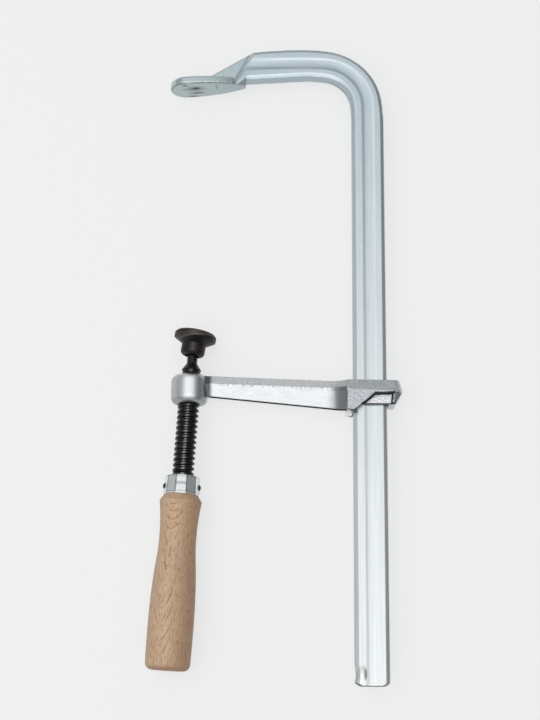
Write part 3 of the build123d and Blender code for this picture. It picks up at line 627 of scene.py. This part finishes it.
def zinc_plated_blasted_forging():
    """Pale zinc with an even grain, painted shade in its corners and hollows, a painted highlight on
    the boss.
    """
    finish, tree, shader, in_mm = new_finish("zinc_plated_blasted_forging")
    grain = patches(tree, in_mm, (GRIT, GRIT, GRIT), 0.3, 0.7, 2.0)
    dents = patches(tree, in_mm, (2.2, 1.2, 2.2), 0.32, 0.68, 2.0)
    clouds = patches(tree, in_mm, (8, 6, 8), 0.35, 0.65)
    inner = add(tree, "Attribute", attribute_name="inner_corner")["Fac"]
    outer = add(tree, "Attribute", attribute_name="outer_edge")["Fac"]
    flash = add(tree, "Attribute", attribute_name="flash")["Fac"]
    where = add(tree, "SeparateXYZ", {0: in_mm})
    faces = add(tree, "SeparateXYZ", {0: add(tree, "TexCoord")["Normal"]})
    upright = add(tree, "Math", {0: faces["Z"]}, operation="ABSOLUTE")[0]
    from_plane = add(tree, "Math", {0: where["Z"]}, operation="ABSOLUTE")[0]

    # The boss: a painted highlight along its crown, painted shade on its flank and foot, and
    # painted shade where it meets the beam.
    on_boss = add(tree, "MapRange", {"Value": where["X"], "From Min": 12, "From Max": 9})[0]
    past_boss = add(tree, "MapRange", {"Value": where["X"], "From Min": 11, "From Max": 13.5})[0]
    crown_light = band(tree, where["X"], (-8.0, -4.5), (0.5, 3.5), 0.9)
    beside_boss = band(tree, where["X"], (2.0, 5.5), (8.5, 11.0), 0.5)
    beam_root = band(tree, where["X"], (7.8, 9.8), (12.0, 15.5))
    boss_foot = add(tree, "MapRange", {
        "Value": faces["Y"], "From Min": -0.15, "From Max": -0.6, "To Max": 0.65})[0]
    boss_flank = add(tree, "MapRange", {
        "Value": faces["X"], "From Min": -0.35, "From Max": -0.9, "To Max": 0.5})[0]

    # The beam: smooth below the flash line and grainy on the strip above it, with painted shade
    # in the hollow before the eye and along its lower edge.
    on_strip = add(tree, "MapRange", {"Value": faces["Y"], "From Min": 0.12, "From Max": 0.30})[0]
    below_flash = add(tree, "MapRange", {
        "Value": where["Y"], "From Min": -242.6, "From Max": -243.8, "To Min": 0.25, "To Max": 1.0})[0]
    before_eye = band(tree, where["X"], (99.0, 111.0), (114.2, 115.2))
    turned_down = add(tree, "MapRange", {
        "Value": faces["Y"], "From Min": -0.30, "From Max": -0.50})[0]
    still_up = add(tree, "MapRange", {"Value": upright, "From Min": 0.12, "From Max": 0.30})[0]

    # The eye: grainy, with a pale recessed web, painted shade on the walls and corners round it
    # and along its mouth, and a lower lug painted pale as a reflection of the table.
    on_eye = add(tree, "MapRange", {"Value": where["X"], "From Min": 113.5, "From Max": 115})[0]
    on_web = band(tree, where["X"], (117.0, 118.0), (150.0, 151.0))
    recess = band(tree, from_plane, (7.8, 8.2), (8.9, 9.2), 0.85)
    above_web = add(tree, "MapRange", {"Value": from_plane, "From Min": 8.2, "From Max": 9.0})[0]
    web_wall = add(tree, "MapRange", {
        "Value": upright, "From Min": 0.35, "From Max": 0.6, "To Min": 1.0, "To Max": 0.0})[0]
    web_height = band(tree, where["Y"], (-264.0, -263.0), (-246.9, -246.3))
    web_corner = add(tree, "MapRange", {
        "Value": inner, "From Min": 0.3, "From Max": 0.6, "To Max": 0.95})[0]
    mouth_edge = band(tree, outer, (0.35, 0.7), (2.0, 3.0), 0.95)
    mouth_height = band(tree, where["Y"], (-259.0, -258.0), (-255.3, -254.5))
    mouth_width = band(tree, where["X"], (124.0, 125.5), (149.5, 150.5))
    lug = add(tree, "MapRange", {
        "Value": where["Y"], "From Min": -256.0, "From Max": -258.5, "To Max": 0.7})[0]
    lug_height = add(tree, "MapRange", {"Value": where["Z"], "From Min": 4, "From Max": 2})[0]

    grainy = add(tree, "Math", {0: on_eye, 1: on_strip}, operation="MAXIMUM")[0]
    pepper = add(tree, "MapRange", {"Value": grainy, "To Min": 0.06, "To Max": 0.62})[0]
    colour = painted(
        tree, linear("#FAFBFB"),
        ("#FFFFFF", clouds),
        ("#E4E6E8", on_eye),
        ("#AEB2B6", grain, pepper),
        ("#A0A3AC", dents, on_eye, 0.45),
        # painted shade in the hollow before the eye
        ("#6C7073", before_eye, below_flash, upright),
        # painted shade on the boss, beside it and at the beam's root
        ("#BCC2C1", on_boss, 0.6),
        ("#85898B", beside_boss, upright),
        ("#54595B", beam_root, upright),
        # painted highlight along the boss's crown
        ("#FDFEFE", crown_light, upright),
        # painted shade on the boss's foot and left flank
        ("#7E8486", boss_foot, on_boss),
        ("#8D9394", boss_flank, on_boss),
        # painted reflection: the lower lug made pale like the table below it
        ("#FDFDFD", lug, lug_height, on_eye),
        # painted shade along the beam's lower edge
        (PAINTED_SHADE, turned_down, still_up, past_boss),
        # painted shade on the walls round the web
        (PAINTED_SHADE, web_wall, above_web, on_web, web_height),
        ("#FDFDFD", recess, on_web, upright),
        # painted shade in the web's corners and along its mouth
        (PAINTED_SHADE, web_corner, on_web),
        (PAINTED_SHADE, mouth_edge, mouth_height, mouth_width),
        ("#6F7478", flash, 0.8))
    dull = add(tree, "Math", {0: grain, 1: 0.10, 2: 0.33}, operation="MULTIPLY_ADD")[0]
    grain_height = add(tree, "MapRange", {"Value": grainy, "To Min": 0.12, "To Max": 1.6})[0]
    dent_height = overlap(tree, dents, on_eye, 3.0)
    relief = add(tree, "Math", {0: grain, 1: grain_height, 2: dent_height},
                 operation="MULTIPLY_ADD")[0]
    finish_off(tree, shader, colour, dull, relief, depth_mm=0.06)
    shader.inputs["Metallic"].default_value = 1.0
    return finish


dress(arm, zinc_plated_blasted_forging())

# %% [markdown]
# ## The screw
# The CAD spindle has a plain shank, because its thread is carried by the joints. The real
# screw is trapezoidal, 16 mm across with a pitch of 4 mm, and rolled, so its crests are
# rounded. The whole screw is one turned outline along its own axis, measured from the middle
# of its ball nose. In the threaded stretch the radius also depends on the angle: one turn
# shifts the profile by one pitch, right-handed as seen from either end.

# %% Thread
PITCH = 4.0
CREST_RADIUS = 8.0
ROOT_RADIUS = 6.6
CREST_HALF = 0.70
FLANK_END = 1.50
THREAD_PHASE = -0.1
AROUND = 72
SHARP_DEG = 35
BALL_MIDDLE = Vector((-0.6, -213.0, 0.0))
SCREW_LEAN_DEG = 3.2

screw_lean = math.radians(SCREW_LEAN_DEG)
to_handle = Vector((-math.sin(screw_lean), -math.cos(screw_lean), 0))
side_up = Vector((0, 0, 1))
side_across = to_handle.cross(side_up)


def thread_radius(station, angle):
    """Radius of the thread at a distance from the ball and an angle about the axis."""
    turns = station / PITCH - angle / math.tau + THREAD_PHASE
    from_crest = abs(turns - round(turns)) * PITCH
    down_flank = smooth((from_crest - CREST_HALF) / (FLANK_END - CREST_HALF))
    return CREST_RADIUS - (CREST_RADIUS - ROOT_RADIUS) * down_flank


def on_screw(station, radius, angle):
    """A point of the screw, in metres."""
    side = side_up * math.cos(angle) + side_across * math.sin(angle)
    return (BALL_MIDDLE + to_handle * station + side * radius) * MM


def turned_piece(name, rows, radius_at, hollow=False):
    """A closed piece whose rows are rings round the screw's axis. A hollow one is a sleeve."""
    points = []
    for station, plain in rows:
        for k in range(AROUND):
            angle = math.tau * k / AROUND
            radius = plain if plain is not None else radius_at(station, angle)
            points.append(on_screw(station, radius, angle))
    faces = []
    for row in range(len(rows) - (0 if hollow else 1)):
        onward = (row + 1) % len(rows) * AROUND
        for k in range(AROUND):
            beside = (k + 1) % AROUND
            faces.append((row * AROUND + k, row * AROUND + beside, onward + beside, onward + k))
    if not hollow:
        faces.append(tuple(reversed(range(AROUND))))
        faces.append(tuple(range(len(points) - AROUND, len(points))))
    mesh = bpy.data.meshes.new(name)
    mesh.from_pydata(points, [], faces)
    obj = bpy.data.objects.new(name, mesh)
    bpy.context.scene.collection.objects.link(obj)
    shell = bmesh.new()
    shell.from_mesh(mesh)
    bmesh.ops.recalc_face_normals(shell, faces=shell.faces)
    shell.to_mesh(mesh)
    shell.free()
    mesh.shade_smooth()
    mesh.set_sharp_from_angle(angle=math.radians(SHARP_DEG))
    print(name, "points:", len(points))
    return obj


# %% [markdown]
# The outline is a list of rows, each a distance from the ball's middle and a radius. It runs
# over the ball with the ring's groove, the neck, the cone that stops the plate, the relief
# before the thread, the thread itself (rows without a radius), the end of the shank, and the
# tang that goes into the handle. The thread rises out of the relief and runs out softly.

# %% Screw
BALL_RADIUS = 5.6
GROOVE_RADIUS = 4.25
GROOVE_HALF = 0.95
NECK_RADIUS = 3.9
CONE = [(11.5, 4.0), (16.2, 7.25), (16.5, 7.4), (16.7, 7.25)]
RELIEF_RADIUS = 6.8
THREAD_START = 17.7
LEAD_IN = 2.5
THREAD_END = 96.0
RUN_OUT = 2.0
SHANK_END = 99.0
TANG_RADIUS = 5.0
TANG_END = 161.0
ROW = 0.2


def shank_radius(station, angle):
    """The thread, which rises out of the relief and runs out into the plain shank."""
    cut = thread_radius(station, angle)
    lead_in = smooth((station - THREAD_START) / LEAD_IN)
    run_out = smooth((station - THREAD_END + RUN_OUT) / RUN_OUT)
    started = ROOT_RADIUS + (cut - ROOT_RADIUS) * lead_in
    return started + (CREST_RADIUS - started) * run_out


def ball_row(station):
    """A row of the ball nose."""
    return (station, math.sqrt(BALL_RADIUS ** 2 - station ** 2))


neck_start = math.sqrt(BALL_RADIUS ** 2 - NECK_RADIUS ** 2)
ball_steps = [-BALL_RADIUS * math.cos(math.pi * k / 40) for k in range(1, 40)]
rows = [(-BALL_RADIUS + 0.002, 0.15)]
rows += [ball_row(s) for s in ball_steps if s < -GROOVE_HALF]
rows += [ball_row(-GROOVE_HALF), (-GROOVE_HALF, GROOVE_RADIUS)]
rows += [(GROOVE_HALF, GROOVE_RADIUS), ball_row(GROOVE_HALF)]
rows += [ball_row(s) for s in ball_steps if GROOVE_HALF < s < neck_start]
rows += [(neck_start, NECK_RADIUS), (11.2, NECK_RADIUS), *CONE]
rows += [(CONE[-1][0], RELIEF_RADIUS), (THREAD_START, RELIEF_RADIUS)]
threaded = round((THREAD_END - THREAD_START) / ROW)
rows += [(THREAD_START + ROW * k, None) for k in range(threaded + 1)]
rows += [(THREAD_END + 0.3, CREST_RADIUS), (SHANK_END - 0.3, CREST_RADIUS)]
rows += [(SHANK_END, CREST_RADIUS - 0.3), (SHANK_END, TANG_RADIUS)]
rows += [(TANG_END - 1, TANG_RADIUS), (TANG_END, TANG_RADIUS - 1)]
screw = turned_piece("threaded_screw", rows, shank_radius)
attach(screw, "screw")
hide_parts("spindle")

# %% [markdown]
# The arm's boss carries the mating thread. Its CAD bore is plain, so the nut thread is a
# thin sleeve that lines it, a tenth of a millimetre clear of the screw, and it rides on the
# arm. It follows the same helix, so screw and nut stay matched while the screw turns. It
# stops short of the bore's upper end, where the cone behind the neck has to enter.

# %% Nut thread in the boss
NUT_START = 29.5
NUT_END = 42.3
NUT_OUTSIDE = 8.3
NUT_MOUTH = 8.1
NUT_CLEARANCE = 0.12


def nut_radius(station, angle):
    """The screw's thread, a little wider, with a chamfer at both ends."""
    from_end = min(station - NUT_START, NUT_END - station)
    return max(thread_radius(station, angle) + NUT_CLEARANCE, NUT_MOUTH - from_end)


cut_rows = round((NUT_END - NUT_START) / ROW)
rows = [(NUT_START + (NUT_END - NUT_START) * k / cut_rows, None) for k in range(cut_rows + 1)]
rows += [(NUT_END, NUT_OUTSIDE), (NUT_START, NUT_OUTSIDE)]
nut = turned_piece("nut_thread", rows, nut_radius, hollow=True)
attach(nut, "sliding_arm")

# %% [markdown]
# ## Black oxide
# The screw is blackened in a hot oxidising bath and oiled. The skin is magnetite, nearly
# black in itself, under a film of oil. Oil's index of refraction is about 1.45, and 1.38
# matches the thin, uneven film: it returns only a few hundredths of the light, and yet it
# draws a bright streak where it mirrors a lamp. Rolling leaves faint rings, here 0.5 mm apart.

# %% Screw finish
ROLLED_RING = 0.5
SCREW_FILM_IOR = 1.38


def black_oxide_on_rolled_thread():
    """Almost black, slightly brown, with a fairly sharp gloss."""
    finish, tree, shader, in_mm = new_finish("black_oxide_on_rolled_thread", SCREW_LEAN_DEG)
    rings = patches(tree, in_mm, (6, ROLLED_RING, 6), 0.3, 0.7)
    clouds = patches(tree, in_mm, (3, 3, 3), 0.35, 0.65)
    colour = painted(tree, linear("#0A0909"), ("#141110", clouds))
    dull = add(tree, "Math", {0: clouds, 1: 0.08, 2: 0.18}, operation="MULTIPLY_ADD")[0]
    finish_off(tree, shader, colour, dull, rings, depth_mm=0.01)
    shader.inputs["IOR"].default_value = SCREW_FILM_IOR
    return finish


dress(screw, black_oxide_on_rolled_thread())

# %% [markdown]
# ## The pressure plate and its ring
# The plate is turned from bar, blackened and tumbled, so it is duller than the screw, with
# turning rings round its own axis, which leans the other way. Its rim is painted lighter and
# browner for the light it catches, with a painted highlight along its edge, and its cone is
# painted darker as shade. These zones are measured from the middle of the ball. The ring that
# holds it on the ball is drawn spring wire, bright grey with fine lines along the wire.

# %% Plate and ring finishes
PLATE_BALL = -212.76
PLATE_LEAN_DEG = -2.55
TURNED_RING = 0.45
PLATE_FILM_IOR = 1.31


def blackened_turned_steel():
    """Dark brown-grey, soft gloss, rubbed paler where the tumbling reached, with painted light on the
    rim and painted shade on the cone.
    """
    finish, tree, shader, in_mm = new_finish("blackened_turned_steel", PLATE_LEAN_DEG)
    rings = patches(tree, in_mm, (40, TURNED_RING, 40), 0.3, 0.7)
    clouds = patches(tree, in_mm, (4, 2.5, 4), 0.35, 0.7)
    rubbed = patches(tree, in_mm, (1.3, 1.3, 1.3), 0.55, 0.75)
    along = add(tree, "SeparateXYZ", {0: in_mm})["Y"]
    station = add(tree, "Math", {0: along, 1: PLATE_BALL}, operation="SUBTRACT")[0]
    on_cone = band(tree, station, (3.0, 4.0), (7.0, 7.4), 0.75)
    on_rim = band(tree, station, (7.2, 7.6), (11.0, 12.0), 0.5)
    rim_edge = band(tree, station, (6.9, 7.4), (7.9, 8.3), 0.2)
    colour = painted(
        tree, linear("#0D0908"),
        ("#17110F", clouds),
        ("#3C322D", rubbed, 0.7),
        # painted shade on the cone
        ("#0E0B0A", on_cone),
        # painted light on the rim, and a painted highlight along its edge
        ("#35302D", on_rim),
        ("#7D746D", rim_edge))
    dull = add(tree, "Math", {0: clouds, 1: 0.12, 2: 0.36}, operation="MULTIPLY_ADD")[0]
    finish_off(tree, shader, colour, dull, rings, depth_mm=0.02)
    shader.inputs["IOR"].default_value = PLATE_FILM_IOR
    return finish


def drawn_spring_wire():
    """Bright grey steel with faint lines and a little tarnish."""
    finish, tree, shader, in_mm = new_finish("drawn_spring_wire")
    lines = patches(tree, in_mm, (0.5, 2.0, 0.5), 0.3, 0.7)
    tarnish = patches(tree, in_mm, (2, 2, 2), 0.45, 0.7)
    colour = painted(tree, linear("#B4B6B8"), ("#8E8A84", tarnish))
    dull = add(tree, "Math", {0: lines, 1: 0.1, 2: 0.28}, operation="MULTIPLY_ADD")[0]
    finish_off(tree, shader, colour, dull, lines, depth_mm=0.01)
    shader.inputs["Metallic"].default_value = 1.0
    return finish


dress(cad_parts["pressure_plate"], blackened_turned_steel())
dress(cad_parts["plate_snap_ring"], drawn_spring_wire())

# %% [markdown]
# ## Ferrule and pin
# The ferrule is pressed from sheet and plated with bright zinc, faintly yellow-green from
# its passivation, with press lines along its ten facets. Lines of painted shade part the
# facets and run round both ends, a painted highlight lies on the top facet and along the
# hems, and a darker band across the top facet's middle is a painted reflection. The pin's
# heads are riveted steel that the tool left dark and slightly scuffed, and the nut thread is
# cut steel that looks the same.

# %% Ferrule and pin finishes
AXIS_ACROSS = 11.29
FACET_DEG = 36.0
FERRULE_MIDDLE = -316.8
FACET_LINE = "#5D676B"


def zinc_plated_pressed_sheet():
    """The brightest zinc on the clamp, greenish in patches, with painted shade between the facets."""
    finish, tree, shader, in_mm = new_finish("zinc_plated_pressed_sheet", SCREW_LEAN_DEG)
    lines = patches(tree, in_mm, (0.7, 9, 0.7), 0.3, 0.7)
    clouds = patches(tree, in_mm, (4, 5, 4), 0.35, 0.65)
    scuffs = patches(tree, in_mm, (1.0, 1.0, 1.0), 0.62, 0.75)
    where = add(tree, "SeparateXYZ", {0: in_mm})
    faces = add(tree, "SeparateXYZ", {0: add(tree, "TexCoord")["Normal"]})

    # The angle round the axis, counted in facets, gives the distance from a facet's middle.
    across = add(tree, "Math", {0: where["X"], 1: AXIS_ACROSS}, operation="SUBTRACT")[0]
    angle = add(tree, "Math", {0: across, 1: where["Z"]}, operation="ARCTAN2")[0]
    facets = add(tree, "Math", {0: angle, 1: math.radians(FACET_DEG)}, operation="DIVIDE")[0]
    facets = add(tree, "Math", {0: facets, 1: 0.5}, operation="ADD")[0]
    share = add(tree, "Math", {0: facets}, operation="FRACT")[0]
    share = add(tree, "Math", {0: share, 1: 0.5}, operation="SUBTRACT")[0]
    from_middle = add(tree, "Math", {0: share}, operation="ABSOLUTE")[0]
    border = add(tree, "MapRange", {
        "Value": from_middle, "From Min": 0.40, "From Max": 0.47, "To Max": 0.75})[0]

    upright = add(tree, "Math", {0: faces["Z"]}, operation="ABSOLUTE")[0]
    top_facet = add(tree, "MapRange", {"Value": upright, "From Min": 0.90, "From Max": 0.97})[0]
    waist = band(tree, where["Y"], (-318.4, -316.9), (-316.4, -314.6), 0.5)
    to_end = add(tree, "Math", {0: where["Y"], 1: FERRULE_MIDDLE}, operation="SUBTRACT")[0]
    to_end = add(tree, "Math", {0: to_end}, operation="ABSOLUTE")[0]
    end_line = band(tree, to_end, (5.2, 5.7), (5.9, 6.3), 0.5)
    hem = add(tree, "MapRange", {
        "Value": to_end, "From Min": 6.1, "From Max": 6.6, "To Max": 0.9})[0]
    colour = painted(
        tree, linear("#E6EDE9"),
        ("#FAFCFC", clouds),
        ("#C6D0CA", lines, 0.5),
        ("#A9B2A9", scuffs),
        # painted highlight on the top facet
        ("#FEFFFF", top_facet, 0.4),
        # painted reflection: a darker band across the top facet's middle
        ("#77828A", waist, top_facet),
        # painted shade along the folds between facets and round both ends
        (FACET_LINE, border),
        (FACET_LINE, end_line),
        # painted highlight along the hems at both ends
        ("#FBFDFD", hem))
    dull = add(tree, "Math", {0: lines, 1: 0.08, 2: 0.34}, operation="MULTIPLY_ADD")[0]
    relief = add(tree, "Math", {0: clouds, 1: 3.0, 2: lines}, operation="MULTIPLY_ADD")[0]
    finish_off(tree, shader, colour, dull, relief, depth_mm=0.02)
    shader.inputs["Metallic"].default_value = 1.0
    return finish


def scuffed_bare_steel(name):
    """Dark oiled steel with the scuffs of the tool."""
    finish, tree, shader, in_mm = new_finish(name)
    scuffs = patches(tree, in_mm, (0.8, 0.8, 0.8), 0.4, 0.7)
    colour = painted(tree, linear("#3F4142"), ("#6B6E70", scuffs))
    dull = add(tree, "Math", {0: scuffs, 1: 0.15, 2: 0.3}, operation="MULTIPLY_ADD")[0]
    finish_off(tree, shader, colour, dull, scuffs, depth_mm=0.04)
    shader.inputs["Metallic"].default_value = 1.0
    return finish


dress(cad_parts["ferrule"], zinc_plated_pressed_sheet())
dress(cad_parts["cross_pin"], scuffed_bare_steel("riveted_steel"))
dress(nut, scuffed_bare_steel("cut_thread_steel"))

# %% [markdown]
# ## The beech handle
# The handle is turned from beech and left nearly raw. Wood is solid, so its figure is made
# in three dimensions and the turned surface cuts through it, as on the lathe. Growth rings
# are cylinders a millimetre apart round the pith of the tree, which lies outside the blank
# and runs at a small angle to the handle, and that angle makes the arches near the ferrule.
# Where the skin runs almost along a ring, the dark line of late wood would spread wide. Real
# arches stay fine, so the distance to the line is divided by how steeply the skin cuts the
# rings. Beech also has short dark ray flecks and fine pores along the grain.

# %% Beech
RING_WIDTH = 1.0
PITH = (25.0, 0.0, -37.6)
PITH_GIVEN_AT = -360
GRAIN_RISE = -0.095
LINE_WIDTH = 0.42
RING_WANDER = 0.4
DARK_FLECK = "#80593C"


def turned_beech():
    """Warm pale brown with rings, flecks and pores along the handle, almost matt, with painted shade
    down its sides.
    """
    finish, tree, shader, in_mm = new_finish("turned_beech", SCREW_LEAN_DEG)
    where = add(tree, "SeparateXYZ", {0: in_mm})
    skin = add(tree, "TexCoord")["Normal"]
    faces = add(tree, "SeparateXYZ", {0: skin})
    clouds = patches(tree, in_mm, (6, 28, 6), 0.3, 0.7)
    breaks = patches(tree, in_mm, (1.6, 9, 1.6), 0.28, 0.55, 2.0)
    grain = patches(tree, in_mm, (0.6, 7, 0.6), 0.3, 0.7)
    flecks = patches(tree, in_mm, (0.6, 5.0, 0.6), 0.58, 0.68, 1.0)
    pores = patches(tree, in_mm, (0.5, 2.6, 0.5), 0.62, 0.70, 1.0)
    weak = patches(tree, in_mm, (6, 9, 6), 0.36, 0.52, 1.0)
    wander = patches(tree, in_mm, (9, 24, 9), 0.2, 0.8, 1.0)

    # Distance from the pith, which rises along the handle.
    rise = add(tree, "Math", {0: where["Y"], 1: GRAIN_RISE, 2: -GRAIN_RISE * PITH_GIVEN_AT},
               operation="MULTIPLY_ADD")[0]
    height = add(tree, "Math", {0: where["Z"], 1: rise}, operation="SUBTRACT")[0]
    sunk = add(tree, "CombineXYZ", {0: where["X"], 1: 0.0, 2: height})[0]
    from_pith = add(tree, "VectorMath", {0: sunk, 1: PITH}, operation="SUBTRACT")[0]
    radius = add(tree, "VectorMath", {0: from_pith}, operation="LENGTH")["Value"]
    radius = add(tree, "Math", {0: wander, 1: RING_WANDER, 2: radius}, operation="MULTIPLY_ADD")[0]

    # How steeply the skin cuts the rings: the part of the growth direction along the skin.
    outward = add(tree, "VectorMath", {0: from_pith}, operation="NORMALIZE")[0]
    outward = add(tree, "SeparateXYZ", {0: outward})
    leaning = add(tree, "Math", {0: outward["Z"], 1: -GRAIN_RISE}, operation="MULTIPLY")[0]
    growth = add(tree, "CombineXYZ", {0: outward["X"], 1: leaning, 2: outward["Z"]})[0]
    skin = add(tree, "Mapping", {"Vector": skin, "Rotation": (0, 0, screw_lean)},
               vector_type="VECTOR")[0]
    through = add(tree, "VectorMath", {0: growth, 1: skin}, operation="PROJECT")[0]
    along_skin = add(tree, "VectorMath", {0: growth, 1: through}, operation="SUBTRACT")[0]
    steepness = add(tree, "VectorMath", {0: along_skin}, operation="LENGTH")["Value"]

    # Distance to the nearest ring line, first as a share of a ring, then along the skin.
    rings = add(tree, "Math", {0: radius, 1: RING_WIDTH}, operation="DIVIDE")[0]
    share = add(tree, "Math", {0: rings}, operation="FRACT")[0]
    share = add(tree, "Math", {0: share, 1: 0.5}, operation="SUBTRACT")[0]
    share = add(tree, "Math", {0: share}, operation="ABSOLUTE")[0]
    to_line = add(tree, "Math", {0: share, 1: RING_WIDTH}, operation="MULTIPLY")[0]
    to_line = add(tree, "Math", {0: to_line, 1: steepness}, operation="DIVIDE")[0]
    line = add(tree, "MapRange", {
        "Value": to_line, "From Min": LINE_WIDTH / 4, "From Max": LINE_WIDTH,
        "To Min": 1.0, "To Max": 0.0}, interpolation_type="SMOOTHSTEP")[0]
    at_arches = add(tree, "MapRange", {
        "Value": steepness, "From Min": 0.25, "From Max": 0.38,
        "To Min": 1.0, "To Max": 0.0}, interpolation_type="SMOOTHSTEP")[0]
    steep = add(tree, "MapRange", {"Value": steepness, "From Min": 0.3, "From Max": 0.6})[0]
    late = overlap(tree, band(tree, share, (0.25, 0.42), (0.48, 0.50)), steep)

    # Painted shade down both sides of the handle, redder on the right and greyer on the left.
    right_side_shade = add(tree, "MapRange", {
        "Value": where["X"], "From Min": 10, "From Max": 26, "To Max": 0.55})[0]
    left_side_shade = add(tree, "MapRange", {
        "Value": where["X"], "From Min": 7, "From Max": -6, "To Max": 0.45})[0]
    end_grain = add(tree, "MapRange", {
        "Value": faces["Y"], "From Min": -0.35, "From Max": -0.9, "To Max": 0.7})[0]
    colour = painted(
        tree, linear("#CAA989"),
        ("#D3B393", clouds),
        ("#AC8465", right_side_shade),
        ("#A08D7A", left_side_shade),
        ("#8A6345", late, breaks, 0.6),
        (DARK_FLECK, line, at_arches, weak, 0.85),
        ("#A07F61", grain, 0.35),
        (DARK_FLECK, flecks, 0.55),
        ("#6E4E36", pores, 0.55),
        ("#8A6142", end_grain))
    dull = add(tree, "Math", {0: flecks, 1: 0.12, 2: 0.52}, operation="MULTIPLY_ADD")[0]
    relief = add(tree, "Math", {0: pores, 1: -2.0, 2: grain}, operation="MULTIPLY_ADD")[0]
    relief = add(tree, "Math", {0: late, 1: -1.0, 2: relief}, operation="MULTIPLY_ADD")[0]
    finish_off(tree, shader, colour, dull, relief, depth_mm=0.04)
    return finish


dress(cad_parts["handle"], turned_beech())

# %% [markdown]
# ## A light for the black pieces
# Oiled black steel shows a lamp as a narrow streak along its crests, and hardly anything
# else. A studio gives such parts a light of their own, bright and narrow and right above, and
# keeps it off the rest. Light linking does the same: this lamp reaches only the black pieces.

# %% Glint lamp
GLINT_WIDTH = 0.85
GLINT_LENGTH = 0.28
GLINT_RADIANCE = 15.0
GLINT_PLACE = Vector((-0.11, -0.134, 1.30))

black_pieces = bpy.data.collections.new("black_pieces")
black_pieces.objects.link(screw)
black_pieces.objects.link(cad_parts["pressure_plate"])
glint_data = bpy.data.lights.new("glint", "AREA")
glint_data.shape = "RECTANGLE"
glint_data.size = GLINT_WIDTH
glint_data.size_y = GLINT_LENGTH
glint_data.energy = GLINT_RADIANCE * math.pi * GLINT_WIDTH * GLINT_LENGTH
glint = bpy.data.objects.new("glint", glint_data)
glint.location = GLINT_PLACE
glint.visible_camera = False
glint.light_linking.receiver_collection = black_pieces
bpy.context.scene.collection.objects.link(glint)
print("glint lamp in watts:", round(glint_data.energy, 1))
